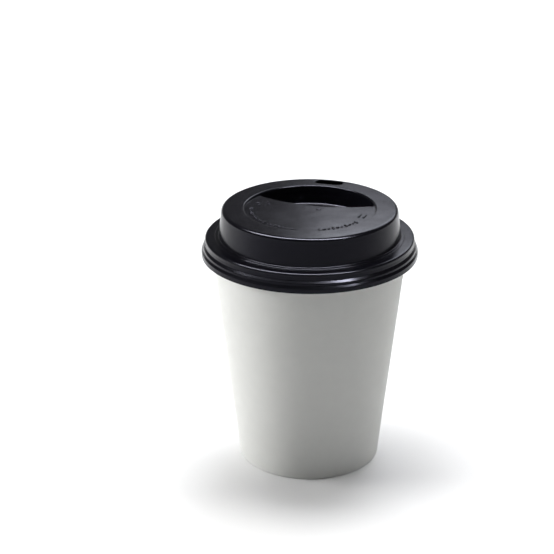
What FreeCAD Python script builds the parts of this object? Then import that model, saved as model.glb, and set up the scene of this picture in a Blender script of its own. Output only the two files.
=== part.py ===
import FreeCAD, Part
import math
import os
import re
import Sketcher
from FreeCAD import Vector

# Takeaway coffee cup: a rolled paperboard cup with a recessed paperboard floor, closed by a
# thin formed plastic travel lid with a sip hole and a deep pocket for the drinker's upper lip.
# Millimetres, +Z up. The origin is the middle of the ring that the cup stands on, and the
# sip hole lies towards +Y.

doc = FreeCAD.newDocument("paper_coffee_cup")
sheet = doc.addObject("Spreadsheet::Sheet", "sizes")

# Driving dimensions
SIZES = [
    ("cup_height", 92.9, "table to the top of the rolled rim"),
    ("rim_radius", 40.35, "outside of the rolled rim"),
    ("base_radius", 28.1, "outside of the side wall at the table"),
    ("board", 0.35, "side wall's board"),
    ("rim_roll", 1.05, "outside radius of the rolled rim's section"),
    ("rim_roll_end", 120.0, "how far the roll turns under, in degrees past its outermost point"),
    ("fold_height", 5.6, "top of the edge that is folded up inside the foot"),
    ("fold_round", 0.25, "rounding of the foot's two lower corners"),
    ("floor_height", 7.0, "table to the top of the cup's floor"),
    ("floor_board", 0.3, "floor's board"),
    ("floor_round", 0.9, "bend where the floor turns down into its skirt"),
    ("glue_gap", 0.04, "film between two layers of board"),
    ("seam_angle", 130.0, "side seam's cut edge, in degrees round from +X"),
    ("seam_reach", 24.0, "part of a turn over which the lap fades out, in degrees"),
    ("seam_step", 0.3, "height of the lap's cut edge"),
    ("seam_clear", 0.8, "from the lap's upper end to the rolled rim"),
    ("lid_sheet", 0.42, "lid's formed plastic sheet"),
    ("seat_gap", 0.1, "between the rolled rim's top and the lid's ledge"),
    ("snap_gap", 0.12, "between the rolled rim's side and the lid's snap groove"),
    ("dome_height", 11.4, "ledge to the lid's top"),
    ("ledge_width", 3.97, "flat ledge, from its edge in to the step round the dome's foot"),
    ("shoulder_width", 1.5, "low step round the dome's foot"),
    ("dome_taper", 1.3, "how far the dome's side draws in from foot to top"),
    ("dome_round", 1.4, "rounding of the dome's top edge"),
    ("shoulder_height", 0.35, "the step's height above the ledge"),
    ("ledge_bulge", 0.28, "ledge's edge beyond the snap groove"),
    ("ledge_round", 0.65, "rounding of the ledge's edge"),
    ("groove_drop", 1.6, "ledge down to where the snap groove is narrowest"),
    ("first_flare_drop", 2.8, "ledge down to the skirt's first flare"),
    ("first_flare_width", 0.86, "how far the first flare widens the skirt"),
    ("second_flare_drop", 4.6, "ledge down to the skirt's second flare"),
    ("second_flare_width", 0.7, "how far the second flare widens the skirt"),
    ("flare_height", 0.9, "height over which each flare widens"),
    ("flare_round", 0.5, "rounding of the flares' bends"),
    ("skirt_drop", 7.35, "ledge down to the lid's lower edge"),
    ("crown_width", 8.8, "flat ring between the dome's side and the round well"),
    ("well_round", 0.6, "rounding of the well's rim"),
    ("well_draft", 5.0, "lean of the well's wall, in degrees"),
    ("plate_depth", 0.8, "lid's top down to the plate in the well"),
    ("pocket_depth", 7.6, "lid's top down to the lip pocket's floor"),
    ("pocket_edge", 4.2, "axis to the middle of the plate's edge"),
    ("pocket_arc", 49.4, "radius of the plate's edge"),
    ("pocket_slope", 27.0, "lean of the pocket's front, in degrees"),
    ("pocket_corner", 1.2, "rounding of the pocket's two upright corners"),
    ("pocket_round", 0.9, "rounding at the foot of the pocket's walls"),
    ("pocket_thinning", 0.05, "how much thinner the sheet is drawn round the pocket"),
    ("sip_setback", 4.6, "well's rim to the middle of the sip hole"),
    ("sip_length", 11.6, "sip hole along the rim"),
    ("sip_width", 4.6, "sip hole across the rim"),
    ("vent_side", 3.3, "axis to the vent, sideways"),
    ("vent_behind", 3.2, "plate's edge to the vent"),
    ("vent_pip_radius", 1.15, "raised pip that the vent pierces"),
    ("vent_pip_height", 0.3, "that pip's height"),
    ("vent_hole_radius", 0.4, "vent hole"),
]
for row, (alias, amount, note) in enumerate(SIZES, start=1):
    sheet.set(f"A{row}", note)
    sheet.set(f"B{row}", str(amount))
    sheet.setAlias(f"B{row}", alias)
doc.recompute()

# Places worked out from the sizes
ROLL_X = "(rim_radius - rim_roll)"
ROLL_Z = "(cup_height - rim_roll)"
WALL_LEAN = f"((rim_radius - 2 * rim_roll + board - base_radius) / {ROLL_Z})"
LEDGE_Z = "(cup_height + seat_gap + lid_sheet)"
TOP_Z = f"({LEDGE_Z} + dome_height)"
PLATE_Z = f"({TOP_Z} - plate_depth)"
POCKET_Z = f"({TOP_Z} - pocket_depth)"
POCKET_FALL = "(pocket_depth - plate_depth)"
GROOVE_RADIUS = "(rim_radius + snap_gap + lid_sheet)"
LEDGE_RADIUS = f"({GROOVE_RADIUS} + ledge_bulge)"
SHOULDER_RADIUS = f"({LEDGE_RADIUS} - ledge_width)"
DOME_FOOT_RADIUS = f"({SHOULDER_RADIUS} - shoulder_width)"
DOME_TOP_RADIUS = f"({DOME_FOOT_RADIUS} - dome_taper)"
WELL_RADIUS = f"({DOME_TOP_RADIUS} - crown_width)"
PLATE_RADIUS = f"({WELL_RADIUS} - plate_depth * tan(well_draft * 1 deg))"
SIP_RADIUS = f"({WELL_RADIUS} + sip_setback)"
FIRST_FLARE_RADIUS = f"({GROOVE_RADIUS} + first_flare_width)"
LIP_RADIUS = f"({FIRST_FLARE_RADIUS} + second_flare_width)"
SKIRT_Z = f"({LEDGE_Z} - skirt_drop)"
VENT_Y = "(pocket_edge - vent_behind)"

ALIASES = re.compile(r"\b(" + "|".join(alias for alias, _, _ in SIZES) + r")\b")


def bound(expression):
    """The expression with the sheet's name before each size."""
    return ALIASES.sub(r"sizes.\1", expression)


def value(expression):
    """What an expression amounts to at the present sizes, in millimetres or degrees."""
    amount = sheet.evalExpression(expression)
    return float(getattr(amount, "Value", amount))


def wall_radius(height):
    """Outside radius of the side wall at a height, as an expression."""
    return f"(base_radius + ({height}) * {WALL_LEAN})"


def bind(item, **expressions):
    """Ties an object's properties to expressions in the sizes; two underscores are a dot."""
    for name, expression in expressions.items():
        item.setExpression(name.replace("__", "."), bound(expression))


def add(kind, name, **expressions):
    """A new object of the document with its sizes bound."""
    item = doc.addObject(kind, name)
    bind(item, **expressions)
    return item


def joined(kind, name, base, tool):
    """A Part boolean of two objects."""
    item = doc.addObject(kind, name)
    item.Base = base
    item.Tool = tool
    doc.recompute()
    return item


def sketch_on(body, name, role):
    """An empty sketch on one of the body's own origin planes."""
    plane = next(item for item in body.Origin.OriginFeatures if item.Role == role)
    sketch = body.newObject("Sketcher::SketchObject", name)
    sketch.AttachmentSupport = [(plane, "")]
    sketch.MapMode = "FlatFace"
    return sketch


def hold(sketch, constraint, expression):
    """Adds a constraint whose amount follows an expression in the sizes."""
    index = sketch.addConstraint(constraint)
    sketch.setExpression(f"Constraints[{index}]", bound(expression))


def fix_point(sketch, geometry, end, x, y):
    """Holds a point of the sketch at x and y, each an expression."""
    for kind, expression, axis in (("DistanceX", x, -2), ("DistanceY", y, -1)):
        if expression == "0":
            sketch.addConstraint(Sketcher.Constraint("PointOnObject", geometry, end, axis))
        else:
            distance = Sketcher.Constraint(kind, -1, 1, geometry, end, value(expression))
            hold(sketch, distance, expression)


def draw_outline(sketch, corners, closed=False, loose=(), arcs=None):
    """Lines from corner to corner, or arcs; gives the first and last one's numbers.

    A corner whose place in the list is in loose is held by what else meets there. The
    dictionary arcs gives, for the corner where an arc starts, its radius as an expression
    and the side it bulges to: 1 is left of the way the outline runs and -1 is right.
    """
    points = [Vector(value(x), value(y), 0) for x, y in corners]
    ends = points[1:] + points[:1] if closed else points[1:]
    pieces = []
    for place, (start, end) in enumerate(zip(points, ends)):
        if arcs and place in arcs:
            radius, side = arcs[place]
            chord = end - start
            rise = value(radius) - math.sqrt(value(radius) ** 2 - chord.Length ** 2 / 4)
            across = Vector(-chord.y, chord.x, 0).normalize() * side * rise
            arc = Part.Arc(start, (start + end) / 2 + across, end)
            pieces.append(sketch.addGeometry(arc))
            hold(sketch, Sketcher.Constraint("Radius", pieces[-1], value(radius)), radius)
        else:
            pieces.append(sketch.addGeometry(Part.LineSegment(start, end)))
    # A sketch stores every arc anticlockwise, so one that bulges left runs back to front
    heads = [2 if arcs and place in arcs and arcs[place][1] > 0 else 1
             for place in range(len(pieces))]
    joints = list(zip(range(len(pieces)), range(1, len(pieces))))
    if closed:
        joints.append((len(pieces) - 1, 0))
    for before, after in joints:
        sketch.addConstraint(Sketcher.Constraint(
            "Coincident", pieces[before], 3 - heads[before], pieces[after], heads[after]))
    for place, corner in enumerate(corners):
        if place in loose:
            continue
        if place < len(pieces):
            fix_point(sketch, pieces[place], heads[place], *corner)
        else:
            fix_point(sketch, pieces[-1], 3 - heads[-1], *corner)
    return pieces[0], pieces[-1]


def turned(body, name, sketch):
    """The sketch turned once round the upright axis."""
    feature = body.newObject("PartDesign::Revolution", name)
    feature.Profile = sketch
    feature.ReferenceAxis = (sketch, ["V_Axis"])
    feature.Angle = 360
    doc.recompute()
    return feature


def same(a, b):
    """Whether two lengths agree within a hundredth of a millimetre."""
    return abs(a - b) < 0.01


def edges_where(shape, test):
    """Numbers of the edges that pass the test."""
    return [number for number, edge in enumerate(shape.Edges, start=1) if test(edge)]


def is_ring(edge, radius, height):
    """Whether the edge is a circle about the upright axis at this radius and height."""
    curve = edge.Curve
    return isinstance(curve, Part.Circle) and same(curve.Radius, radius) and \
        same(curve.Center.z, height) and same(math.hypot(curve.Center.x, curve.Center.y), 0)


def round_rings(body, name, places, radius):
    """Rounds full-turn edges, each given by its radius and height."""
    base = body.Tip
    wanted = [(value(across), value(height)) for across, height in places]
    numbers = edges_where(base.Shape, lambda edge: any(is_ring(edge, *place) for place in wanted))
    fillet = body.newObject("PartDesign::Fillet", name)
    fillet.Base = (base, [f"Edge{number}" for number in numbers])
    bind(fillet, Radius=radius)
    doc.recompute()
    return fillet


def round_edges(name, base, test, radius):
    """A Part fillet on the edges that pass the test; radius is an expression."""
    numbers = edges_where(base.Shape, test)
    fillet = doc.addObject("Part::Fillet", name)
    fillet.Base = base
    fillet.Edges = [(number, value(radius), value(radius)) for number in numbers]
    doc.recompute()
    return fillet


def make_wall():
    """Side wall: one board blank with a lapped seam, a rolled rim and a folded foot."""
    body = doc.addObject("PartDesign::Body", "wall_blank")
    section = sketch_on(body, "wall_section", "XZ_Plane")
    # The floor's skirt and two films of glue lie between the wall and its folded edge
    fold = "(2 * board + floor_board + 2 * glue_gap)"
    corners = [
        (f"{ROLL_X} - rim_roll", ROLL_Z),
        (f"{wall_radius('board')} - board", "board"),
        (f"{wall_radius('board')} - {fold} + board", "board"),
        (f"{wall_radius('fold_height')} - {fold} + board", "fold_height"),
        (f"{wall_radius('fold_height')} - {fold}", "fold_height"),
        (f"base_radius - {fold}", "0"),
        ("base_radius", "0"),
        (f"{ROLL_X} - rim_roll + board", ROLL_Z),
    ]
    inside, outside = draw_outline(section, corners, loose=(0, len(corners) - 1))
    # The roll: two concentric arcs from the wall over the top and back under
    middle = Vector(value(ROLL_X), value(ROLL_Z), 0)
    turn_end = -math.radians(value("rim_roll_end"))
    arcs = []
    for radius, line, end in (("rim_roll", inside, 1), ("rim_roll - board", outside, 2)):
        circle = Part.Circle(middle, Vector(0, 0, 1), value(radius))
        arc = section.addGeometry(Part.ArcOfCircle(circle, turn_end, math.pi))
        hold(section, Sketcher.Constraint("Radius", arc, value(radius)), radius)
        section.addConstraint(Sketcher.Constraint("Coincident", arc, 2, line, end))
        section.addConstraint(Sketcher.Constraint("Horizontal", arc, 3, arc, 2))
        arcs.append(arc)
    outer_arc, inner_arc = arcs
    fix_point(section, outer_arc, 3, ROLL_X, ROLL_Z)
    section.addConstraint(Sketcher.Constraint("Coincident", inner_arc, 3, outer_arc, 3))
    cut_end = section.addGeometry(Part.LineSegment(
        *[section.Geometry[arc].StartPoint for arc in (inner_arc, outer_arc)]))
    section.addConstraint(Sketcher.Constraint("Coincident", cut_end, 1, inner_arc, 1))
    section.addConstraint(Sketcher.Constraint("Coincident", cut_end, 2, outer_arc, 1))
    section.addConstraint(Sketcher.Constraint("PointOnObject", outer_arc, 3, cut_end))
    hold(section, Sketcher.Constraint("Angle", cut_end, turn_end), "-rim_roll_end * 1 deg")
    turned(body, "wall_turned", section)
    feet = [("base_radius", "0"), (f"base_radius - {fold}", "0")]
    round_rings(body, "foot_round", feet, "fold_round")

    # The lap's cut edge stands proud of the wall and fades out round the cup. Its face
    # belongs to a cone beside the cup's axis.
    offset = "(seam_step / (1 - cos(seam_reach * 1 deg)))"
    inset = f"{offset} * cos(seam_reach * 1 deg)"
    low = "fold_round"
    high = "(cup_height - 2 * rim_roll - seam_clear)"
    face = add(
        "Part::Cone", "lap_face", Height=f"{high} - {low}",
        Radius1=f"{wall_radius(low)} - {inset}", Radius2=f"{wall_radius(high)} - {inset}",
        Placement__Base__x=f"{offset} * cos(seam_angle * 1 deg)",
        Placement__Base__y=f"{offset} * sin(seam_angle * 1 deg)", Placement__Base__z=low)
    # The block reaches from the cut edge back past the place where the lap has faded out
    back = "(rim_radius * sin(2 * seam_reach * 1 deg))"
    block = add(
        "Part::Box", "lap_side", Length="rim_radius", Width=back, Height="cup_height",
        Placement__Base__x=f"{back} * sin(seam_angle * 1 deg)",
        Placement__Base__y=f"-{back} * cos(seam_angle * 1 deg)",
        Placement__Rotation__Angle="seam_angle * 1 deg")
    core = add(
        "Part::Cone", "lap_core", Height=ROLL_Z,
        Radius1="base_radius - board / 2", Radius2=f"{wall_radius(ROLL_Z)} - board / 2")
    doc.recompute()
    half = joined("Part::Common", "lap_half", face, block)
    lap = joined("Part::Cut", "lap", half, core)
    return joined("Part::Fuse", "cup_wall", body, lap)


def make_base():
    """Cup's floor: a board disc whose edge turns down between the wall and its fold."""
    body = doc.addObject("PartDesign::Body", "cup_base")
    section = sketch_on(body, "base_section", "XZ_Plane")
    hem = "(board + glue_gap)"
    under = "(floor_height - floor_board)"
    corners = [
        ("0", "floor_height"),
        (f"{wall_radius('floor_height')} - {hem}", "floor_height"),
        (f"{wall_radius(hem)} - {hem}", hem),
        (f"{wall_radius(hem)} - {hem} - floor_board", hem),
        (f"{wall_radius(under)} - {hem} - floor_board", under),
        ("0", under),
    ]
    draw_outline(section, corners, closed=True)
    turned(body, "base_turned", section)
    round_rings(body, "floor_bend", corners[1:2], "floor_round")
    round_rings(body, "floor_bend_under", corners[4:5], "floor_round - floor_board")
    return body


def make_shell():
    """Lid without its pocket and holes: one formed sheet, open below."""
    body = doc.addObject("PartDesign::Body", "lid_shell")
    section = sketch_on(body, "lid_section", "XZ_Plane")
    shoulder_z = f"{LEDGE_Z} + shoulder_height"
    corners = [
        ("0", PLATE_Z),
        (PLATE_RADIUS, PLATE_Z),
        (WELL_RADIUS, TOP_Z),
        (DOME_TOP_RADIUS, TOP_Z),
        (DOME_FOOT_RADIUS, shoulder_z),
        (SHOULDER_RADIUS, shoulder_z),
        (SHOULDER_RADIUS, LEDGE_Z),
        (LEDGE_RADIUS, LEDGE_Z),
        (GROOVE_RADIUS, f"{LEDGE_Z} - groove_drop"),
    ]
    arcs = {}
    for narrow, wide, drop in ((GROOVE_RADIUS, FIRST_FLARE_RADIUS, "first_flare_drop"),
                               (FIRST_FLARE_RADIUS, LIP_RADIUS, "second_flare_drop")):
        # Each flare bends outwards and back, with arcs that touch its straight sides
        lean = f"atan(({wide} - {narrow}) / flare_height)"
        touch = f"flare_round * tan({lean} / 2)"
        upper = f"{LEDGE_Z} - {drop}"
        lower = f"{upper} - flare_height"
        arcs[len(corners)] = ("flare_round", -1)
        corners.append((narrow, f"{upper} + {touch}"))
        corners.append((f"{narrow} + {touch} * sin({lean})", f"{upper} - {touch} * cos({lean})"))
        arcs[len(corners)] = ("flare_round", 1)
        corners.append((f"{wide} - {touch} * sin({lean})", f"{lower} + {touch} * cos({lean})"))
        corners.append((wide, f"{lower} - {touch}"))
    corners += [(LIP_RADIUS, SKIRT_Z), ("0", SKIRT_Z)]
    draw_outline(section, corners, closed=True, arcs=arcs)
    turned(body, "lid_turned", section)
    round_rings(body, "well_rim", [(WELL_RADIUS, TOP_Z)], "well_round")
    round_rings(body, "dome_edge", [(DOME_TOP_RADIUS, TOP_Z)], "dome_round")
    form = round_rings(body, "ledge_edge", [(LEDGE_RADIUS, LEDGE_Z)], "ledge_round")
    floor = value(SKIRT_Z)
    open_face = next(number for number, item in enumerate(form.Shape.Faces, start=1)
                     if same(item.BoundBox.ZMax, floor))
    shell = body.newObject("PartDesign::Thickness", "lid_thickness")
    shell.Base = (form, [f"Face{open_face}"])
    shell.Reversed = True
    shell.Join = "Intersection"
    bind(shell, Value="lid_sheet")
    doc.recompute()
    return body


def make_lens(name, growth):
    """Lip pocket as a solid: the well's round wall meets the plate's curved edge.

    The growth swells its walls and its floor, as an expression.
    """
    fall = f"({POCKET_FALL} + {growth})"
    bottom = f"{POCKET_Z} - {growth}"
    cones = []
    for part_name, radius, lean, middle in (
            ("back", PLATE_RADIUS, "(well_draft * 1 deg)", "0"),
            ("front", "pocket_arc", "(pocket_slope * 1 deg)", "(pocket_edge + pocket_arc)")):
        upper = f"({radius} + {growth} / cos({lean}))"
        cones.append(add(
            "Part::Cone", f"{name}_{part_name}", Height=fall, Radius2=upper,
            Radius1=f"{upper} - {fall} * tan({lean})",
            Placement__Base__y=middle, Placement__Base__z=bottom))
    doc.recompute()
    lens = joined("Part::Common", f"{name}_lens", *cones)
    upright = round_edges(
        f"{name}_corners", lens,
        lambda edge: edge.BoundBox.ZLength > value(fall) / 2, f"pocket_corner + {growth}")
    floor = value(bottom)
    return round_edges(
        name, upright,
        lambda edge: same(edge.BoundBox.ZMin, floor) and same(edge.BoundBox.ZMax, floor),
        f"pocket_round + {growth}")


def make_sip_slot():
    """Round-ended hole through the lid's flat top, above the pocket."""
    straight = "(sip_length - sip_width)"
    depth = "3 * lid_sheet"
    bottom = f"{TOP_Z} - 2 * lid_sheet"
    pieces = [add(
        "Part::Box", "sip_middle", Length=straight, Width="sip_width", Height=depth,
        Placement__Base__x=f"-{straight} / 2",
        Placement__Base__y=f"{SIP_RADIUS} - sip_width / 2", Placement__Base__z=bottom)]
    for side in ("-", ""):
        pieces.append(add(
            "Part::Cylinder", "sip_end", Radius="sip_width / 2", Height=depth,
            Placement__Base__x=f"{side}{straight} / 2",
            Placement__Base__y=SIP_RADIUS, Placement__Base__z=bottom))
    return pieces


def make_lid():
    """Travel lid: the formed sheet with its lip pocket, sip hole and pierced vent."""
    shell = make_shell()
    pocket_outside = make_lens("pocket_outside", "(lid_sheet - pocket_thinning)")
    pocket_inside = make_lens("pocket_inside", "0")
    pip = add(
        "Part::Cone", "vent_pip", Radius1="vent_pip_radius",
        Radius2="vent_pip_radius - vent_pip_height", Height="vent_pip_height",
        Placement__Base__x="vent_side", Placement__Base__y=VENT_Y, Placement__Base__z=PLATE_Z)
    vent = add(
        "Part::Cylinder", "vent_hole", Radius="vent_hole_radius",
        Height="3 * lid_sheet + vent_pip_height", Placement__Base__x="vent_side",
        Placement__Base__y=VENT_Y, Placement__Base__z=f"{PLATE_Z} - 2 * lid_sheet")
    solid = doc.addObject("Part::MultiFuse", "lid_solid")
    solid.Shapes = [shell, pocket_outside, pip]
    openings = doc.addObject("Part::MultiFuse", "lid_openings")
    openings.Shapes = [pocket_inside, vent, *make_sip_slot()]
    doc.recompute()
    lid = joined("Part::Cut", "lid", solid, openings)
    lid.Refine = True
    doc.recompute()
    return lid


NODES = {"cup_wall": make_wall(), "cup_base": make_base(), "lid": make_lid()}
for node, item in NODES.items():
    item.Label = node
doc.recompute()

for item in doc.Objects:
    if {"Invalid", "Error"} & set(item.State):
        raise RuntimeError(f"{item.Name} failed: {item.State}")
for node, item in NODES.items():
    if item.Shape.isNull() or not item.Shape.isValid():
        raise RuntimeError(f"{node} has no valid shape")

os.makedirs("parts", exist_ok=True)
for node, item in NODES.items():
    item.Shape.exportStep(f"parts/{node}.step")
    print(node, len(item.Shape.Solids), "solid,", round(item.Shape.Volume, 1), "mm3")
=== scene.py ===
# %% [markdown]
# # A takeaway coffee cup with its travel lid
#
# The real cup is three things pressed together: a side wall rolled from one blank of
# paperboard, a paperboard floor, and a lid formed from one thin sheet of black plastic.
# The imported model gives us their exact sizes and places, so we load it first and build
# the finer pieces around it.

import math

import bmesh
import bpy
from mathutils import Matrix, Vector


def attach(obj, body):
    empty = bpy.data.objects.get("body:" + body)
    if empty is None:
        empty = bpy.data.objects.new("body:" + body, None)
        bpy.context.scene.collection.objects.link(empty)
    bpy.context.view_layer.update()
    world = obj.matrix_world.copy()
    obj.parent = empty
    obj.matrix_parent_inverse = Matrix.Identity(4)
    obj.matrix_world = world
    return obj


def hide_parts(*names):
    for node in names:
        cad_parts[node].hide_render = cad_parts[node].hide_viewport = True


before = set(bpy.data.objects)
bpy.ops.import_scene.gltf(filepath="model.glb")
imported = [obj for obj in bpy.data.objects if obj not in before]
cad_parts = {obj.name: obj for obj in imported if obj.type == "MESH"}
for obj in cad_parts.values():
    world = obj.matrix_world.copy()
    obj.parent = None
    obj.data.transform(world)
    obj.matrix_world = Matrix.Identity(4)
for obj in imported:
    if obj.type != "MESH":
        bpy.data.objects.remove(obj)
bpy.context.view_layer.update()

# %% [markdown]
# ## Units and places
#
# A packaging drawing is in millimetres and Blender is in metres, so every size below is
# written in millimetres and brought to metres once, when a mesh is finished. The cup
# stands on the floor at height zero, its axis is Z and the sip hole lies towards +Y.

# %% Units
MM = 0.001
ROUND = 240  # steps in a full turn
print("one step of a turn:", 360 / ROUND, "degrees")

# %% [markdown]
# ## The camera
#
# The camera stands about 0.7 m away, looks down at the cup by 22 degrees and leans over by
# a hair. These numbers come from fitting the rings of the rim and of the lid to the
# photograph. We turn it about Z last, because the sip hole points a little to the right
# of straight away from us. The lamps are turned by the same angle later.

# %% Camera
camera_heading = math.radians(16.0)
camera_pitch = math.radians(22.4354)
camera_roll = math.radians(-0.219)
camera_place = Vector((-12.855, -631.018, 336.021)) * MM
camera_data = bpy.data.cameras.new("photo_camera")
camera_data.sensor_width = 36.0
camera_data.lens = 112.13
camera = bpy.data.objects.new("photo_camera", camera_data)
bpy.context.scene.collection.objects.link(camera)
bpy.context.scene.camera = camera
heading = Matrix.Rotation(camera_heading, 4, "Z")
tilt = Matrix.Rotation(math.pi / 2 - camera_pitch, 4, "X")
lean = Matrix.Rotation(camera_roll, 4, "Z")
camera.matrix_world = Matrix.Translation(heading @ camera_place) @ heading @ tilt @ lean
print("camera at", [round(x, 4) for x in camera.location])

# %% [markdown]
# ## Turning a section
#
# Nearly everything here is round, so we draw half a cross-section as a wire and spin it.
# A corner that is rounded on the real thing gets a vertex bevel, which slides along both
# edges by the tangent length and leaves an arc. That way a section is a short list of
# corners, each with its own rounding.


# %% Helpers for sections
def draw_section(bm, corners):
    """A wire in the XZ plane through (radius, height, rounding) corners; returns its edges."""
    points = [Vector((radius, 0, height)) for radius, height, _ in corners]
    verts = [bm.verts.new(point) for point in points]
    edges = [bm.edges.new(pair) for pair in zip(verts, verts[1:])]
    chain = set(edges)
    for number, (vert, (_, _, rounding)) in enumerate(zip(verts, corners)):
        if not rounding:
            continue
        before = points[number] - points[number - 1]
        after = points[number + 1] - points[number]
        tangent = rounding * math.tan(before.angle(after) / 2)
        steps = max(2, min(8, round(math.degrees(before.angle(after)) / 12)))
        old = set(bm.edges)
        bmesh.ops.bevel(
            bm, geom=[vert], offset=tangent, segments=steps, profile=0.5,
            affect="VERTICES", clamp_overlap=False, material=-1)
        chain |= set(bm.edges) - old
    return [edge for edge in chain if edge.is_valid]


def spin_full(bm, edges):
    """Turns a wire once round Z and joins the seam."""
    verts = {vert for edge in edges for vert in edge.verts}
    bmesh.ops.spin(
        bm, geom=[*verts, *edges], cent=(0, 0, 0), axis=(0, 0, 1), angle=2 * math.pi,
        steps=ROUND, use_merge=True)
    bmesh.ops.remove_doubles(bm, verts=bm.verts, dist=1e-4)


# %% [markdown]
# Every piece is finished the same way: its faces are turned outwards, it is brought to
# metres, and its shading stays smooth except at true corners. A count of the faces on
# each edge tells us whether the shell is closed. Two calls tie the piece to the imported
# model: it rides on its body's empty, and the node it stands for is hidden.

# %% Finishing a piece
SHARP = 40.0  # degrees between faces, past which an edge is a corner


def edge_uses(mesh):
    """How many faces use each edge; a closed mesh has two everywhere."""
    uses = [0] * len(mesh.edges)
    for loop in mesh.loops:
        uses[loop.edge_index] += 1
    return uses


def finish_piece(bm, name, body, node):
    """Brings a mesh in millimetres to metres and hands it over as a piece of the cup."""
    bmesh.ops.recalc_face_normals(bm, faces=bm.faces)
    bmesh.ops.scale(bm, vec=(MM, MM, MM), verts=bm.verts)
    mesh = bpy.data.meshes.new(name)
    bm.to_mesh(mesh)
    bm.free()
    mesh.shade_smooth()
    mesh.set_sharp_from_angle(angle=math.radians(SHARP))
    piece = bpy.data.objects.new(name, mesh)
    bpy.context.scene.collection.objects.link(piece)
    weighted = piece.modifiers.new("even_shading", "WEIGHTED_NORMAL")
    weighted.keep_sharp = True
    weighted.weight = 80
    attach(piece, body)
    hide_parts(node)
    mesh.calc_loop_triangles()
    open_edges = sum(1 for count in edge_uses(mesh) if count != 2)
    print(name, "triangles:", len(mesh.loop_triangles), "open edges:", open_edges)
    return piece


# %% [markdown]
# ## The side wall
#
# The wall is one blank of board, rolled to a cone and glued where its ends lap. Its top
# is curled outwards into a hollow rim, and its foot is folded up inside to hold the
# floor. One closed section shows all of that. We spin it, but leave the two ends
# unmerged at the seam, push the last part of the turn outwards by the board of the lap,
# and bridge the ends, which leaves the small step of the cut edge.

# %% Section of the side wall
CUP_HEIGHT = 92.9
RIM_RADIUS = 40.35
FOOT_RADIUS = 28.1
BOARD = 0.35
ROLL_RADIUS = 1.05
ROLL_TURN = math.radians(300)

roll_x = RIM_RADIUS - ROLL_RADIUS
roll_z = CUP_HEIGHT - ROLL_RADIUS
wall_slope = (roll_x - ROLL_RADIUS + BOARD - FOOT_RADIUS) / roll_z
fold_reach = 1.08  # two boards, the floor's skirt and two films of glue
fold_top = 5.6
wall_rings = (30, 60, 84, 88, 89)  # heights; they lie close where the lap has to fade out


def wall_radius(height):
    """Outside radius of the wall at a height."""
    return FOOT_RADIUS + wall_slope * height


def add_roll(bm, start, radius):
    """Carries the wire on from a vertex over the roll and back under; returns its last vertex."""
    old = set(bm.verts)
    bmesh.ops.spin(
        bm, geom=[start], cent=(roll_x, 0, roll_z), axis=(0, 1, 0), angle=ROLL_TURN, steps=30)
    new = set(bm.verts) - old
    end_x = roll_x + radius * math.cos(math.pi - ROLL_TURN)
    end_z = roll_z + radius * math.sin(math.pi - ROLL_TURN)
    return min(new, key=lambda vert: (vert.co.x - end_x) ** 2 + (vert.co.z - end_z) ** 2)


wall_bm = bmesh.new()
draw_section(wall_bm, [
    (roll_x - ROLL_RADIUS, roll_z, 0),
    (wall_radius(BOARD) - BOARD, BOARD, 0),
    (wall_radius(BOARD) - fold_reach + BOARD, BOARD, 0),
    (wall_radius(fold_top) - fold_reach + BOARD, fold_top, 0.05),
    (wall_radius(fold_top) - fold_reach, fold_top, 0.05),
    (FOOT_RADIUS - fold_reach, 0, 0.4),
    (FOOT_RADIUS, 0, 0.5),
    *[(wall_radius(height), height, 0) for height in wall_rings],
    (roll_x - ROLL_RADIUS + BOARD, roll_z, 0),
])
wall_bm.verts.ensure_lookup_table()
ends = [vert for vert in wall_bm.verts if len(vert.link_edges) == 1]
ends.sort(key=lambda vert: vert.co.x)
outer_end = add_roll(wall_bm, ends[0], ROLL_RADIUS)
inner_end = add_roll(wall_bm, ends[1], ROLL_RADIUS - BOARD)
wall_bm.edges.new((outer_end, inner_end))
print("wall section:", len(wall_bm.verts), "corners")

# %% [markdown]
# The lap fades in over 24 degrees before the cut edge. A smooth ramp keeps the wall
# looking like one bent sheet instead of a wedge that was added on. Just under the rolled
# rim the lap is pressed flatter, so the highest ring is moved by less than the others.

# %% Spin the wall and step its seam
seam_angle = math.radians(130)
seam_reach = math.radians(24)
seam_step = 0.3
seam_top = 89.0
pressed_share = 0.3  # of the step, at the highest ring

bmesh.ops.rotate(
    wall_bm, cent=(0, 0, 0), matrix=Matrix.Rotation(seam_angle, 3, "Z"), verts=wall_bm.verts)
section = [*wall_bm.verts, *wall_bm.edges]
start_edges = list(wall_bm.edges)
turned = bmesh.ops.spin(
    wall_bm, geom=section, cent=(0, 0, 0), axis=(0, 0, 1), angle=2 * math.pi, steps=ROUND)
last_verts = {item for item in turned["geom_last"] if isinstance(item, bmesh.types.BMVert)}
last_edges = [item for item in turned["geom_last"] if isinstance(item, bmesh.types.BMEdge)]
first_verts = {vert for edge in start_edges for vert in edge.verts}
for vert in wall_bm.verts:
    radius = math.hypot(vert.co.x, vert.co.y)
    on_outside = abs(radius - wall_radius(vert.co.z)) < 0.02 and 0.2 < vert.co.z < seam_top + 0.1
    before_seam = (seam_angle - math.atan2(vert.co.y, vert.co.x)) % (2 * math.pi)
    if before_seam > 2 * math.pi - 1e-4:
        before_seam = 0.0
    if not on_outside or vert in first_verts or before_seam > seam_reach:
        continue
    ramp = 1 - before_seam / seam_reach
    lift = seam_step * ramp * ramp * (3 - 2 * ramp)
    lift *= 1.0 if vert.co.z < seam_top - 0.5 else pressed_share
    vert.co.x *= (radius + lift) / radius
    vert.co.y *= (radius + lift) / radius
bmesh.ops.bridge_loops(wall_bm, edges=start_edges + last_edges)
bmesh.ops.remove_doubles(wall_bm, verts=wall_bm.verts, dist=1e-4)
side_wall = finish_piece(wall_bm, "side_wall", "cup", "cup_wall")

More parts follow.
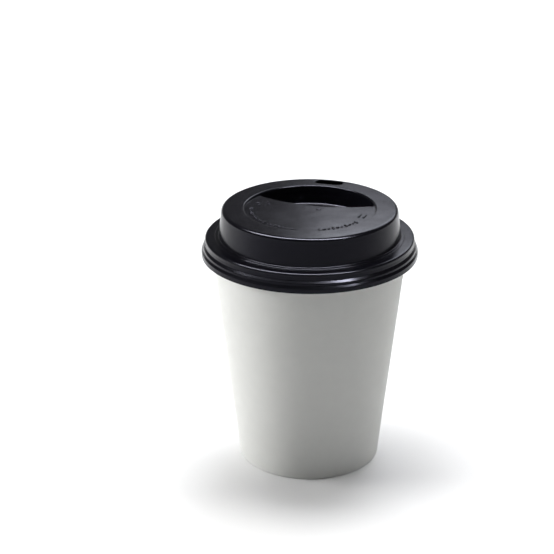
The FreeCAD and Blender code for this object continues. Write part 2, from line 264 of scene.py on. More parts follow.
# %% [markdown]
# ## The cup's floor
#
# The floor is a disc of board pressed into a shallow upside-down pan. Its edge turns
# down and is glued between the wall and the wall's folded foot. It stands 7 mm above the
# table, which is why a full cup doesn't scald what it stands on.

# %% Floor
FLOOR_Z = 7.0
FLOOR_BOARD = 0.3
hem = BOARD + 0.04  # the wall's board and a film of glue
floor_under = FLOOR_Z - FLOOR_BOARD

floor_bm = bmesh.new()
pan = draw_section(floor_bm, [
    (0, FLOOR_Z, 0),
    (wall_radius(FLOOR_Z) - hem, FLOOR_Z, 0.9),
    (wall_radius(hem) - hem, hem, 0.04),
    (wall_radius(hem) - hem - FLOOR_BOARD, hem, 0.04),
    (wall_radius(floor_under) - hem - FLOOR_BOARD, floor_under, 0.6),
    (0, floor_under, 0),
])
spin_full(floor_bm, pan)
cup_floor = finish_piece(floor_bm, "cup_floor", "cup", "cup_base")

# %% [markdown]
# ## The lid
#
# The lid is formed from one warm plastic sheet over a mould, so its outside and its
# inside follow each other at the sheet's thickness. We build each skin with the same
# function, once at the mould's face and once a sheet's thickness in, and join the two
# where the real sheet was cut: at its lower edge, at the sip hole and at the vent.
#
# First the section, from the axis out over the plate, the well, the dome, the ledge that
# rests on the cup's rim, and the skirt with its two flares.

# %% Section of the lid
SHEET = 0.42
TOP_Z = 104.82
PLATE_Z = 104.02
STEP_Z = 93.77  # low step round the dome's foot
LEDGE_Z = 93.42
LIP_Z = 86.07

PLATE_RADIUS = 25.53
WELL_RADIUS = 25.6
DOME_RADIUS = 34.4
DOME_FOOT_RADIUS = 35.7
STEP_RADIUS = 37.2
LEDGE_RADIUS = 41.17
GROOVE_RADIUS = 40.89
FLARE_RADIUS = 41.75
LIP_RADIUS = 42.45

lid_corners = [  # radius, height, rounding
    (0, PLATE_Z, 0),
    (PLATE_RADIUS, PLATE_Z, 0),
    (WELL_RADIUS, TOP_Z, 0.6),
    (DOME_RADIUS, TOP_Z, 1.4),
    (DOME_FOOT_RADIUS, STEP_Z, 0.3),
    (STEP_RADIUS, STEP_Z, 0.3),
    (STEP_RADIUS, LEDGE_Z, 0.04),
    (LEDGE_RADIUS, LEDGE_Z, 0.9),
    (GROOVE_RADIUS, 91.82, 1.0),
    (GROOVE_RADIUS, 90.62, 0.5),
    (FLARE_RADIUS, 89.72, 0.5),
    (FLARE_RADIUS, 88.82, 0.5),
    (LIP_RADIUS, 87.92, 0.5),
    (LIP_RADIUS, LIP_Z, 0),
]


def inset_section(corners, wall):
    """The same section a wall's thickness inside, with its roundings shrunk or grown to suit."""
    points = [Vector((radius, height)) for radius, height, _ in corners]
    ways = [(b - a).normalized() for a, b in zip(points, points[1:])]
    inside = [Vector((way.y, -way.x)) for way in ways]
    inset = []
    for number, (point, (_, _, rounding)) in enumerate(zip(points, corners)):
        before = inside[max(number - 1, 0)]
        after = inside[min(number, len(inside) - 1)]
        move = (before + after) * wall / (1 + before.dot(after))
        bulges = before.cross(after) < 0
        if rounding:
            rounding = max(rounding - wall, 0.05) if bulges else rounding + wall
        inset.append((point.x + move.x, point.y + move.y, rounding))
    return inset


inner_corners = inset_section(lid_corners, SHEET)
print("inner skin:", [(round(r, 2), round(z, 2)) for r, z, _ in inner_corners])

# %% [markdown]
# The lip pocket is a lens seen from above: at the back it follows the round well, at the
# front it follows the plate's wide curved edge, and its two corners are rounded. Its
# walls lean, so the lens shrinks as it goes down. We describe one outline by its two
# radii, and later extrude it downwards outline by outline.

# %% Outline of the lip pocket
POCKET_Z = 97.22
EDGE_CENTRE = 53.6  # centre of the plate's curved edge, on the Y axis
EDGE_RADIUS = 49.4
BACK_STEPS = 84
FRONT_STEPS = 56
CORNER_STEPS = 6
front_fall = (PLATE_Z - POCKET_Z) * math.tan(math.radians(27))
back_fall = (PLATE_Z - POCKET_Z) * math.tan(math.radians(5))
print("the pocket's front draws in by", round(front_fall, 2), "and its back by",
      round(back_fall, 2), "mm")


def pocket_corner(front, back, rounding):
    """Centre of the right-hand corner's rounding, inside both circles."""
    y = ((back - rounding) ** 2 - (front - rounding) ** 2 + EDGE_CENTRE ** 2) / (2 * EDGE_CENTRE)
    return Vector((math.sqrt((back - rounding) ** 2 - y * y), y))


def arc(centre, radius, start, end, steps):
    """Points along an arc, without its last one."""
    angles = [start + (end - start) * step / steps for step in range(steps)]
    return [Vector((centre.x + radius * math.cos(a), centre.y + radius * math.sin(a)))
            for a in angles]


def pocket_outline(front, back, rounding):
    """The lens as points: back arc, left corner, plate's edge, right corner."""
    right = pocket_corner(front, back, rounding)
    left = Vector((-right.x, right.y))
    middle = Vector((0, EDGE_CENTRE))
    high = math.atan2(right.y, right.x)
    low = math.atan2(right.y - EDGE_CENTRE, right.x)
    return (
        arc(Vector((0, 0)), back, high, math.pi - high, BACK_STEPS)
        + arc(left, rounding, math.pi - high, math.pi - low, CORNER_STEPS)
        + arc(middle, front, -math.pi - low, low, FRONT_STEPS)
        + arc(right, rounding, low, high, CORNER_STEPS))


# %% [markdown]
# Going down, the outline turns over the plate's edge, falls along the leaning walls, and
# turns again into the pocket's floor. We round both turns as arcs and pair the points of
# the front with those of the back, so that each pair is one level outline.

# %% Levels of the lip pocket
EDGE_ROUND = 0.5  # where the plate turns down
FOOT_ROUND = 0.9  # where the walls meet the pocket's floor
FLAT_RUN = 4  # a bit of flat beyond each turn, only to give the arc its direction


def corner_arc(before, corner, after, rounding, steps):
    """Points of the arc that rounds a corner between two straight runs."""
    back, ahead = (before - corner).normalized(), (after - corner).normalized()
    half = back.angle(ahead) / 2
    centre = corner + (back + ahead).normalized() * (rounding / math.sin(half))
    start = corner + back * (rounding / math.tan(half)) - centre
    turn = (math.pi - 2 * half) * (1 if back.cross(ahead) < 0 else -1)
    return [centre + Matrix.Rotation(turn * step / steps, 2) @ start
            for step in range(steps + 1)]


def pocket_levels(wall, plate_z, ring_radius):
    """Front and back (radius, height) of each outline, from the plate down to the floor."""
    front = inset_section([
        (EDGE_RADIUS - front_fall - FLAT_RUN, POCKET_Z, 0),
        (EDGE_RADIUS - front_fall, POCKET_Z, FOOT_ROUND),
        (EDGE_RADIUS, PLATE_Z, EDGE_ROUND),
        (EDGE_RADIUS + FLAT_RUN, PLATE_Z, 0)], wall)
    back = inset_section([
        (PLATE_RADIUS - back_fall - FLAT_RUN, POCKET_Z, 0),
        (PLATE_RADIUS - back_fall, POCKET_Z, FOOT_ROUND),
        (PLATE_RADIUS, PLATE_Z, 0)], wall)
    f = [Vector((radius, height)) for radius, height, _ in front]
    b = [Vector((radius, height)) for radius, height, _ in back]
    front_points = (corner_arc(f[3], f[2], f[1], front[2][2], 5)
                    + corner_arc(f[2], f[1], f[0], front[1][2], 6))
    foot = corner_arc(b[2], b[1], b[0], back[1][2], 6)
    top = Vector((ring_radius, plate_z))
    back_points = [top.lerp(foot[0], share) for share in (0, 0.05, 0.1, 0.15, 0.2, 0.25)] + foot
    return list(zip(front_points, back_points))


# %% [markdown]
# Raised marks are pressed into the same sheet as the plate. We keep them plain: small
# bars and pips round the plate's edge. Each starts as a circle whose halves are pulled
# apart, is raised in three steps that get flatter, so that its shoulder catches the
# light, and is closed on top. Its foot becomes a hole in the plate's own face, so the
# sheet stays in one piece.

# %% Loops, raised marks and the slot
MARK_STEPS = ((0.22, 0.05), (0.13, 0.14), (0.06, 0.18))  # each step's rise and draw-in


def slot_loop(bm, length, width, place, turn, steps):
    """Edges of a round-ended loop, flat at its place."""
    made = bmesh.ops.create_circle(bm, cap_ends=False, radius=width / 2, segments=steps)
    verts = made["verts"]
    for vert in verts:
        if abs(vert.co.x) > 1e-4:
            vert.co.x += math.copysign((length - width) / 2, vert.co.x)
    bmesh.ops.rotate(bm, cent=(0, 0, 0), matrix=Matrix.Rotation(turn, 3, "Z"), verts=verts)
    bmesh.ops.translate(bm, vec=place, verts=verts)
    return list({edge for vert in verts for edge in vert.link_edges})


def extrude_loop(bm, edges):
    """Extrudes a loop of edges; returns the new edges and the old vertex behind each new one."""
    old = {vert for edge in edges for vert in edge.verts}
    made = bmesh.ops.extrude_edge_only(bm, edges=edges)["geom"]
    new = {item for item in made if isinstance(item, bmesh.types.BMVert)}
    follows = {}
    for vert in old:
        for edge in vert.link_edges:
            if edge.other_vert(vert) in new:
                follows[edge.other_vert(vert)] = vert
    loop = [item for item in made
            if isinstance(item, bmesh.types.BMEdge) and set(item.verts) <= new]
    return loop, follows


def raise_loop(bm, edges, height, draw_in):
    """Lifts a loop by a height and draws it in towards its own middle; returns the upper loop."""
    loop, follows = extrude_loop(bm, edges)
    middle = sum((vert.co for vert in follows), Vector()) / len(follows)
    for vert in follows:
        inward = middle - vert.co
        vert.co += inward.normalized() * draw_in + Vector((0, 0, height))
    return loop


def raised_mark(bm, length, width, place, turn):
    """A bar or, when as long as wide, a pip; returns the edges of its foot."""
    foot = top = slot_loop(bm, length, width, place, turn, 12)
    for height, draw_in in MARK_STEPS:
        top = raise_loop(bm, top, height, draw_in)
    bmesh.ops.edgeloop_fill(bm, edges=top)
    return foot


# %% [markdown]
# Now the skin itself, in four steps. First the section is spun in two sweeps instead of
# one full turn, so that the ring round the plate has a vertex exactly where the pocket's
# rounded corners leave it.

# %% Sweeping the section
def ring_edges(bm, radius, height, keep):
    """Edges of a level ring whose angles pass a test."""
    def on_ring(vert):
        return (abs(vert.co.z - height) < 1e-3
                and abs(math.hypot(vert.co.x, vert.co.y) - radius) < 2e-3)
    found = []
    for edge in bm.edges:
        middle = (edge.verts[0].co + edge.verts[1].co) / 2
        if all(on_ring(v) for v in edge.verts) and keep(math.atan2(middle.y, middle.x)):
            found.append(edge)
    return found


def sweep_section(bm, corners, begin):
    """Spins the section round the back, from the angle where it begins, and then on."""
    wire = draw_section(bm, corners)
    verts = list({vert for edge in wire for vert in edge.verts})
    bmesh.ops.rotate(bm, cent=(0, 0, 0), matrix=Matrix.Rotation(begin, 3, "Z"), verts=verts)
    sweep = [*verts, *wire]
    for angle, steps in ((math.pi - 2 * begin, BACK_STEPS),
                         (math.pi + 2 * begin, ROUND - BACK_STEPS)):
        sweep = bmesh.ops.spin(
            bm, geom=sweep, cent=(0, 0, 0), axis=(0, 0, 1), angle=angle,
            steps=steps)["geom_last"]
    bmesh.ops.remove_doubles(bm, verts=bm.verts, dist=2e-3)


# %% [markdown]
# Second, the pocket. At the back it hangs from the swept ring, and at the front from the
# plate's edge. We extrude that outline level by level and set each new point where the
# next outline has it. Round the two corners the height slides from the back's level to
# the front's, which are not the same while the walls turn over.

# %% Hanging the pocket
def front_share(number, count):
    """How much of the front's level a point of the outline has: 0 behind, 1 in front."""
    if number <= BACK_STEPS:
        return 0
    if number < BACK_STEPS + CORNER_STEPS:
        return (number - BACK_STEPS) / CORNER_STEPS
    if number <= count - CORNER_STEPS:
        return 1
    return (count - number) / CORNER_STEPS


def hang_pocket(bm, ring, levels, rounding, begin):
    """Builds the pocket from its upper outline down; returns the edges round the plate."""
    ring_radius, plate_z = ring
    behind = ring_edges(bm, ring_radius, plate_z, lambda a: begin < a < math.pi - begin)
    before = ring_edges(bm, ring_radius, plate_z, lambda a: not begin < a < math.pi - begin)
    back_verts = {vert for edge in behind for vert in edge.verts}
    outline = []
    for number, point in enumerate(pocket_outline(levels[0][0].x, ring_radius, rounding)):
        place = Vector((point.x, point.y, plate_z))
        if number <= BACK_STEPS:
            outline.append(min(back_verts, key=lambda vert: (vert.co - place).length))
        else:
            outline.append(bm.verts.new(place))
    count = len(outline)
    edge_of_plate = [bm.edges.new((outline[i], outline[(i + 1) % count]))
                     for i in range(BACK_STEPS, count)]
    loop = behind + edge_of_plate
    for front, back in levels[1:]:
        loop, follows = extrude_loop(bm, loop)
        follower = {old: new for new, old in follows.items()}
        outline = [follower[vert] for vert in outline]
        for number, point in enumerate(pocket_outline(front.x, back.x, rounding)):
            share = front_share(number, count)
            outline[number].co = (point.x, point.y, back.y + (front.y - back.y) * share)
    bmesh.ops.edgeloop_fill(bm, edges=loop)
    return before + edge_of_plate


# %% [markdown]
# Third, the two flat areas with holes in them. The plate has the vent's small pip and the
# marks let into it, and the crown has the sip hole. A flat face with holes is filled
# between the loops that bound it, which triangle_fill does in one call. The crown's own
# faces go first in a patch round the hole, so that there is a rim to fill from.

# %% Filling the plate and cutting the sip hole
VENT_PLACE = (3.3, 1.0)
VENT_WIDTH = 2.3
VENT_STEPS = ((0.12, 0.06), (0.18, 0.2), (0, 0.59))  # up the pip and in to the hole
SIP_LENGTH = 11.6
SIP_WIDTH = 4.6
SIP_RADIUS = 30.2
SIP_PATCH = 0.3  # half the angle of the crown's patch, in radians
SIP_EDGE_STEPS = ((-0.02, 0.05), (-0.05, 0.02))


def fill_plate(bm, plate_rim, plate_z, marks):
    """Closes the plate between its rim, the vent's pip and the marks."""
    vent = slot_loop(bm, VENT_WIDTH, VENT_WIDTH, Vector((*VENT_PLACE, plate_z)), 0, 24)
    holes = list(vent)
    for height, draw_in in VENT_STEPS:
        vent = raise_loop(bm, vent, height, draw_in)
    for length, width, x, y, turn in marks:
        holes += raised_mark(bm, length, width, Vector((x, y, plate_z)), turn)
    bmesh.ops.triangle_fill(
        bm, use_beauty=True, edges=plate_rim + holes, normal=(0, 0, 1))


def cut_sip_hole(bm, crown_z):
    """Opens the flat crown behind the pocket; returns the hole's edges."""
    crown = [face for face in bm.faces
             if all(abs(vert.co.z - crown_z) < 1e-3 for vert in face.verts)
             and abs(math.atan2(face.calc_center_median().x,
                                face.calc_center_median().y)) < SIP_PATCH]
    rim = {edge for face in crown for edge in face.edges}
    rim = [edge for edge in rim if sum(face in crown for face in edge.link_faces) == 1]
    bmesh.ops.delete(bm, geom=crown, context="FACES")
    slot = slot_loop(bm, SIP_LENGTH, SIP_WIDTH, Vector((0, SIP_RADIUS, crown_z)), 0, 48)
    bmesh.ops.triangle_fill(bm, use_beauty=True, edges=rim + slot, normal=(0, 0, 1))
    return slot


# %% [markdown]
# Fourth, the cut edges. The cuts of a stamped sheet aren't razor sharp, and the tiny
# rounding gives them the thin line of light that the eye expects. A bevel could do it
# after the skins are joined, but the rims of two skins don't line up exactly, so we round
# each rim with two short extrusions of its own. The outer skin draws in and the inner one
# draws out, and they meet in the middle of the sheet.

# %% Rounding the cut edges and forming one skin
CUT_ROUND = 0.08
POCKET_CORNER = 1.2  # rounding of the pocket's two upright corners


def round_lip(bm, lip_corner, side):
    """Rounds the lip's cut edge; side is 1 to draw it in and -1 to draw it out."""
    lip = ring_edges(bm, *lip_corner, lambda angle: True)
    for vert in {vert for edge in lip for vert in edge.verts}:
        vert.co.z += CUT_ROUND
    for down, across in ((0.7, 0.3), (0.3, 0.7)):
        lip = raise_loop(bm, lip, -down * CUT_ROUND, side * across * CUT_ROUND)


def form_skin(corners, wall, marks):
    """One face of the formed sheet, with its pocket and its openings."""
    bm = bmesh.new()
    ring_radius, plate_z, _ = corners[1]
    levels = pocket_levels(wall, plate_z, ring_radius)
    rounding = POCKET_CORNER + wall
    right = pocket_corner(levels[0][0].x, ring_radius, rounding)
    begin = math.atan2(right.y, right.x)
    sweep_section(bm, corners[1:], begin)
    plate_rim = hang_pocket(bm, (ring_radius, plate_z), levels, rounding, begin)
    fill_plate(bm, plate_rim, plate_z, marks)
    slot = cut_sip_hole(bm, corners[2][1])
    if not wall:
        for height, draw_in in SIP_EDGE_STEPS:
            slot = raise_loop(bm, slot, height, draw_in)
    round_lip(bm, corners[-1][:2], -1 if wall else 1)
    return bm


# %% [markdown]
# The marks run round the front of the plate in two rows, with a small ring of bars at the
# left and two longer bars at the right. Angles are measured from straight in front.

# %% Places of the raised marks
MARK_RADIUS = 22.9
MARK_SPACING = 4.6  # degrees
MARK_ROWS = ((-76, 18), (24, 10))  # each row's first angle and its number of marks
MARK_KINDS = ((2.2, 0.85, 0), (1.4, 0.85, math.pi / 2), (1, 1, 0))  # length, width, turn
RING_X = -19.2
RING_Y = 1.2
RING_RADIUS = 2.2
PAIR_ANGLE = 84
PAIR_RADII = (20.6, 22.6)


def on_plate(radius, degrees):
    """A place on the plate, by its angle from the front, and the angle it points out at."""
    angle = math.radians(degrees - 90)
    return radius * math.cos(angle), radius * math.sin(angle), angle


marks = []
for first, count in MARK_ROWS:
    for number in range(count):
        x, y, angle = on_plate(MARK_RADIUS, first + MARK_SPACING * number)
        length, width, turn = MARK_KINDS[number % len(MARK_KINDS)]
        marks.append((length, width, x, y, angle + turn))
for number in range(6):
    angle = math.radians(60 * number)
    x = RING_X + RING_RADIUS * math.cos(angle)
    y = RING_Y + RING_RADIUS * math.sin(angle)
    marks.append((1.4, 0.9, x, y, angle))
for radius in PAIR_RADII:
    x, y, angle = on_plate(radius, PAIR_ANGLE)
    marks.append((3.6, 0.85, x, y, angle + math.pi / 2))
print("raised marks:", len(marks))

# %% [markdown]
# Both skins are made and joined in one mesh. What is still open are three pairs of loops:
# the vent, the sip hole and the lip, on one skin and on the other. Sorted by their number
# of edges, the two loops of a pair stand side by side, and a bridge closes the sheet
# between them. A Solidify modifier would be shorter, but it can't keep the sheet's walls
# parallel round the small vent and through the pocket's tight turns.

# %% Lid
def boundary_loops(bm):
    """The open edges, grouped into loops."""
    left = {edge for edge in bm.edges if len(edge.link_faces) == 1}
    loops = []
    while left:
        loop, queue = set(), [left.pop()]
        while queue:
            edge = queue.pop()
            loop.add(edge)
            for vert in edge.verts:
                for other in vert.link_edges:
                    if other in left:
                        left.discard(other)
                        queue.append(other)
        loops.append(loop)
    return loops


lid_bm = form_skin(lid_corners, 0.0, marks)
inner_bm = form_skin(inner_corners, SHEET, [])
inner_mesh = bpy.data.meshes.new("inner_skin")
inner_bm.to_mesh(inner_mesh)
inner_bm.free()
lid_bm.from_mesh(inner_mesh)
bpy.data.meshes.remove(inner_mesh)

cuts = sorted(boundary_loops(lid_bm), key=len)
for first, second in zip(cuts[::2], cuts[1::2]):
    bmesh.ops.bridge_loops(lid_bm, edges=[*first, *second])
lid = finish_piece(lid_bm, "travel_lid", "lid", "lid")

# %% [markdown]
# ## Building a finish
#
# A finish is a Principled shader fed by a few noise patterns. The patterns of one finish
# live in a shader node group with named inputs, so that two pieces of the same stuff can
# share it at different strengths. These helpers add the nodes and wire them up.

# %% Shader helpers
def new_group(name, inputs, outputs):
    """An empty shader node group with its named sockets; each input has a default."""
    group = bpy.data.node_groups.new(name, "ShaderNodeTree")
    for label, kind, default in inputs:
        socket = group.interface.new_socket(label, in_out="INPUT", socket_type=kind)
        if default is not None:
            socket.default_value = default
    for label, kind in outputs:
        group.interface.new_socket(label, in_out="OUTPUT", socket_type=kind)
    return group, group.nodes.new("NodeGroupInput"), group.nodes.new("NodeGroupOutput")


def noise(tree, vector, scale, detail, roughness=0.5):
    """A noise texture with so many blotches to the metre."""
    node = tree.nodes.new("ShaderNodeTexNoise")
    node.inputs["Scale"].default_value = scale
    node.inputs["Detail"].default_value = detail
    node.inputs["Roughness"].default_value = roughness
    tree.links.new(vector, node.inputs["Vector"])
    return node.outputs["Fac"]


def math_node(tree, operation, first, second):
    """One step of arithmetic; either side is a number or a socket."""
    node = tree.nodes.new("ShaderNodeMath")
    node.operation = operation
    for number, item in enumerate((first, second)):
        if isinstance(item, (int, float)):
            node.inputs[number].default_value = item
        else:
            tree.links.new(item, node.inputs[number])
    return node.outputs[0]


def new_material(name):
    """A material with its own Principled shader and object coordinates."""
    material = bpy.data.materials.new(name)
    material.use_nodes = True
    tree = material.node_tree
    shader = tree.nodes["Principled BSDF"]
    coordinates = tree.nodes.new("ShaderNodeTexCoord").outputs["Object"]
    return material, tree, shader, coordinates


def add_bump(tree, shader, height, distance):
    """Feeds a height, in the given metres, to the shader's normal."""
    bump = tree.nodes.new("ShaderNodeBump")
    bump.inputs["Distance"].default_value = distance
    bump.inputs["Strength"].default_value = 1.0
    tree.links.new(height, bump.inputs["Height"])
    tree.links.new(bump.outputs["Normal"], shader.inputs["Normal"])


# %% [markdown]
# ## Paperboard
#
# Cup board is white, bleached pulp with a thin film on it. It looks plain from afar, but
# close up it has a cloudy formation from the pulp, fine fibres that lie along the sheet,
# and a low sheen from the film. Three noise patterns in object coordinates give that: one
# clouds the colour, and the other two, fine fibres and slow waves, make the bump.

# %% Paperboard's surface
board_group, entry, leave = new_group(
    "board_surface",
    [("Vector", "NodeSocketVector", None), ("Colour", "NodeSocketColor", (0.8, 0.8, 0.8, 1)),
     ("Cloudiness", "NodeSocketFloat", 0.03), ("Grain", "NodeSocketFloat", 0.5)],
    [("Colour", "NodeSocketColor"), ("Roughness", "NodeSocketFloat"),
     ("Height", "NodeSocketFloat")])
vector = entry.outputs["Vector"]
clouds = noise(board_group, vector, 220, 4)
fibre_stretch = board_group.nodes.new("ShaderNodeMapping")
fibre_stretch.inputs["Scale"].default_value = (1.0, 1.0, 0.35)
board_group.links.new(vector, fibre_stretch.inputs["Vector"])
fibres = noise(board_group, fibre_stretch.outputs["Vector"], 5200, 3, 0.65)
waves = noise(board_group, vector, 60, 2)
shade = math_node(board_group, "SUBTRACT", clouds, 0.5)
shade = math_node(board_group, "MULTIPLY", shade, entry.outputs["Cloudiness"])
shade = math_node(board_group, "ADD", shade, 1.0)
tint = board_group.nodes.new("ShaderNodeVectorMath")
tint.operation = "SCALE"
board_group.links.new(entry.outputs["Colour"], tint.inputs[0])
board_group.links.new(shade, tint.inputs["Scale"])
board_group.links.new(tint.outputs["Vector"], leave.inputs["Colour"])
sheen = math_node(board_group, "MULTIPLY", fibres, 0.16)
sheen = math_node(board_group, "ADD", sheen, 0.5)
board_group.links.new(sheen, leave.inputs["Roughness"])
grain = math_node(board_group, "MULTIPLY", fibres, entry.outputs["Grain"])
relief = math_node(board_group, "MULTIPLY", waves, 3.0)
board_group.links.new(math_node(board_group, "ADD", grain, relief), leave.inputs["Height"])


def board_material(name, colour, cloudiness, grain_strength):
    """Paperboard with its own tint and strengths."""
    material, tree, shader, coordinates = new_material(name)
    surface = tree.nodes.new("ShaderNodeGroup")
    surface.node_tree = board_group
    surface.inputs["Colour"].default_value = (*colour, 1)
    surface.inputs["Cloudiness"].default_value = cloudiness
    surface.inputs["Grain"].default_value = grain_strength
    tree.links.new(coordinates, surface.inputs["Vector"])
    tree.links.new(surface.outputs["Colour"], shader.inputs["Base Color"])
    tree.links.new(surface.outputs["Roughness"], shader.inputs["Roughness"])
    shader.inputs["Specular IOR Level"].default_value = 0.35
    add_bump(tree, shader, surface.outputs["Height"], 0.00002)
    return material


wall_material = board_material("white_cup_board", (0.835, 0.84, 0.81), 0.05, 0.5)
side_wall.data.materials.append(wall_material)
floor_material = board_material("white_floor_board", (0.81, 0.815, 0.8), 0.07, 0.7)
cup_floor.data.materials.append(floor_material)
print("board finish:", len(board_group.nodes), "nodes in its group")

# %% [markdown]
# ## Black formed plastic
#
# The lid's sheet is dyed black all through. Forming leaves it satin, not mirror bright:
# the mould's fine grain shows as a soft roughness, the sheet is a little uneven over a
# few millimetres, and handling leaves faint smears. We vary the roughness and the bump,
# and keep the colour close to one value. The specular level is low, because the dye and
# the grain leave the sheet darker than clear plastic under the same light.

# %% Lid's plastic
plastic_group, entry, leave = new_group(
    "formed_plastic_surface",
    [("Vector", "NodeSocketVector", None), ("Colour", "NodeSocketColor", (0.02, 0.02, 0.02, 1)),
     ("Roughness", "NodeSocketFloat", 0.35), ("Smears", "NodeSocketFloat", 0.1)],
    [("Colour", "NodeSocketColor"), ("Roughness", "NodeSocketFloat"),
     ("Height", "NodeSocketFloat")])
vector = entry.outputs["Vector"]
smears = noise(plastic_group, vector, 130, 5, 0.6)
texture = noise(plastic_group, vector, 4200, 2)
unevenness = noise(plastic_group, vector, 110, 1)
gloss = math_node(plastic_group, "SUBTRACT", smears, 0.5)
gloss = math_node(plastic_group, "MULTIPLY", gloss, entry.outputs["Smears"])
gloss = math_node(plastic_group, "ADD", gloss, entry.outputs["Roughness"])
plastic_group.links.new(gloss, leave.inputs["Roughness"])
shade = math_node(plastic_group, "MULTIPLY", smears, 0.3)
shade = math_node(plastic_group, "ADD", shade, 0.85)
tint = plastic_group.nodes.new("ShaderNodeVectorMath")
tint.operation = "SCALE"
plastic_group.links.new(entry.outputs["Colour"], tint.inputs[0])
plastic_group.links.new(shade, tint.inputs["Scale"])
plastic_group.links.new(tint.outputs["Vector"], leave.inputs["Colour"])
relief = math_node(plastic_group, "MULTIPLY", unevenness, 6.0)
relief = math_node(plastic_group, "ADD", relief, math_node(
    plastic_group, "MULTIPLY", texture, 0.25))
plastic_group.links.new(relief, leave.inputs["Height"])

plastic, tree, shader, coordinates = new_material("black_formed_plastic")
surface = tree.nodes.new("ShaderNodeGroup")
surface.node_tree = plastic_group
surface.inputs["Colour"].default_value = (0.003, 0.0029, 0.0045, 1)
surface.inputs["Roughness"].default_value = 0.2
surface.inputs["Smears"].default_value = 0.12
tree.links.new(coordinates, surface.inputs["Vector"])
tree.links.new(surface.outputs["Colour"], shader.inputs["Base Color"])
tree.links.new(surface.outputs["Roughness"], shader.inputs["Roughness"])
shader.inputs["Specular IOR Level"].default_value = 0.16
shader.inputs["Specular Tint"].default_value = (0.8, 0.81, 1.0, 1)
add_bump(tree, shader, surface.outputs["Height"], 0.00001)
lid.data.materials.append(plastic)
print("plastic finish:", len(plastic_group.nodes), "nodes in its group")

# %% [markdown]
# ## The studio's floor
#
# The cup stands on a plain pale floor that runs far back, so the picture has no horizon.
# A Light Path node tells rays that see the floor, from the camera or by way of something
# shiny or clear, from rays that only carry its light. The floor throws less light on the
# cup than it shows, which keeps the cup's own shading. From 0.7 m on, where no shadow of
# the cup falls, seeing rays also find it brighten softly to plain white.

# %% Studio floor
floor_mesh = bpy.data.meshes.new("floor")
stage_bm = bmesh.new()
bmesh.ops.create_grid(stage_bm, x_segments=1, y_segments=1, size=6.0)
stage_bm.to_mesh(floor_mesh)
stage_bm.free()
floor = bpy.data.objects.new("floor", floor_mesh)
bpy.context.scene.collection.objects.link(floor)


def seeing_rays(tree):
    """1 for rays from the camera, by reflection or through something clear, otherwise 0."""
    path = tree.nodes.new("ShaderNodeLightPath")
    seen = math_node(
        tree, "MAXIMUM", path.outputs["Is Camera Ray"], path.outputs["Is Glossy Ray"])
    return math_node(tree, "MAXIMUM", seen, path.outputs["Is Transmission Ray"])


floor_finish, tree, shader, coordinates = new_material("pale_floor")
seen = seeing_rays(tree)
mix = tree.nodes.new("ShaderNodeMix")
mix.data_type = "RGBA"
mix.inputs["A"].default_value = (0.46, 0.46, 0.46, 1)
mix.inputs["B"].default_value = (0.84, 0.84, 0.84, 1)
tree.links.new(seen, mix.inputs["Factor"])
tree.links.new(mix.outputs["Result"], shader.inputs["Base Color"])
shader.inputs["Roughness"].default_value = 0.9
shader.inputs["Specular IOR Level"].default_value = 0.0
distance = tree.nodes.new("ShaderNodeVectorMath")
distance.operation = "LENGTH"
tree.links.new(coordinates, distance.inputs[0])
far = tree.nodes.new("ShaderNodeMapRange")
far.interpolation_type = "SMOOTHSTEP"
far.inputs["From Min"].default_value = 0.7
far.inputs["From Max"].default_value = 1.1
tree.links.new(distance.outputs["Value"], far.inputs["Value"])
shader.inputs["Emission Color"].default_value = (1, 1, 1, 1)
glow = math_node(tree, "MULTIPLY", far.outputs["Result"], seen)
tree.links.new(glow, shader.inputs["Emission Strength"])
floor.data.materials.append(floor_finish)
print("studio floor:", round(floor.dimensions.x, 1), "m wide")

# %% [markdown]
# ## Lamps
#
# A broad soft lamp overhead lights the floor and makes the soft shadow. A box at the left
# gives the cup its bright edge, and a weaker one at the right keeps that side from going
# dark. These three light only what is dull, because a black lid would mirror them as hard
# grey patches. The lid gets two lamps of its own to mirror: a cool panel low behind it,
# which its level top shows, and a long strip high in front, which draws the thin bright
# lines along its rounded edges.

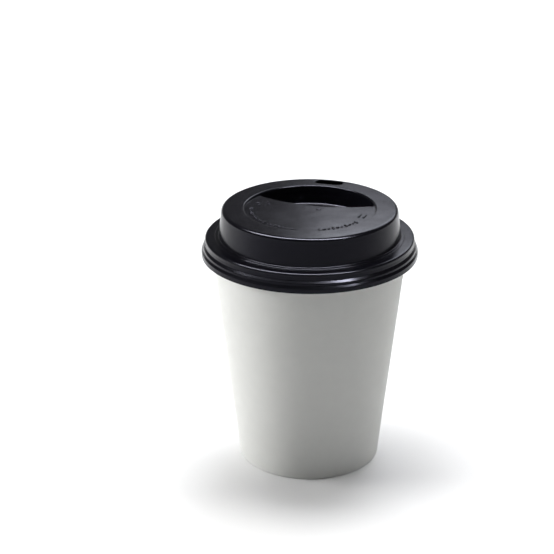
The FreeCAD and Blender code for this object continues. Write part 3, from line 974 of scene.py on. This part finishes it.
# %% Lamps
def soft_lamp(name, place, size, power, aim=(0, 0, 0.06), mirrored=True):
    """An area lamp; place and aim are in metres, with the camera straight in front."""
    data = bpy.data.lights.new(name, "AREA")
    data.shape = "RECTANGLE"
    data.size, data.size_y = size
    data.energy = power
    lamp = bpy.data.objects.new(name, data)
    bpy.context.scene.collection.objects.link(lamp)
    spot = heading.to_3x3() @ Vector(place)
    target = heading.to_3x3() @ Vector(aim)
    lamp.matrix_world = Matrix.Translation(spot) @ (
        (target - spot).to_track_quat("-Z", "Y").to_matrix().to_4x4())
    lamp.visible_camera = False
    lamp.visible_glossy = mirrored
    return lamp


soft_lamp("overhead", (0.0, 0.33, 1.6), (1.0, 0.6), 26, aim=(0, 0.15, 0), mirrored=False)
soft_lamp("left_box", (-1.0, 0.12, 0.35), (0.5, 0.5), 9, mirrored=False)
soft_lamp("right_box", (0.85, 0.42, 0.35), (0.5, 0.5), 2.2, mirrored=False)
panel = soft_lamp("back_panel", (0.19, 0.5, 0.455), (0.42, 0.26), 1.35)
panel.data.color = (0.88, 0.91, 1.0)
strip = soft_lamp("edge_strip", (-0.1, -0.24, 1.5), (2.8, 0.26), 210)
strip.visible_diffuse = False

print("lamps:", sorted(data.name for data in bpy.data.lights))

# %% [markdown]
# ## World
#
# Seeing rays find a dark room, which keeps the lid black, with a white band just above
# the floor, so that the background stays pale even from a low place. All other rays get
# one weak even light, so the band adds nothing to what falls on the cup.

# %% World
world = bpy.data.worlds.new("studio")
bpy.context.scene.world = world
world.use_nodes = True
tree = world.node_tree
direction = tree.nodes.new("ShaderNodeSeparateXYZ")
tree.links.new(tree.nodes.new("ShaderNodeTexCoord").outputs["Generated"], direction.inputs[0])
height = tree.nodes.new("ShaderNodeMapRange")
height.interpolation_type = "SMOOTHSTEP"
height.inputs["From Min"].default_value = 0.05
height.inputs["From Max"].default_value = 0.15
height.inputs["To Min"].default_value = 1.0
height.inputs["To Max"].default_value = 0.1
tree.links.new(direction.outputs["Z"], height.inputs["Value"])
mix = tree.nodes.new("ShaderNodeMix")
mix.inputs["A"].default_value = 0.12
tree.links.new(seeing_rays(tree), mix.inputs["Factor"])
tree.links.new(height.outputs["Result"], mix.inputs["B"])
background = tree.nodes["Background"]
background.inputs["Color"].default_value = (1, 1, 1, 1)
tree.links.new(mix.outputs["Result"], background.inputs["Strength"])
bpy.context.scene.view_settings.view_transform = "Standard"
print("view transform:", bpy.context.scene.view_settings.view_transform)
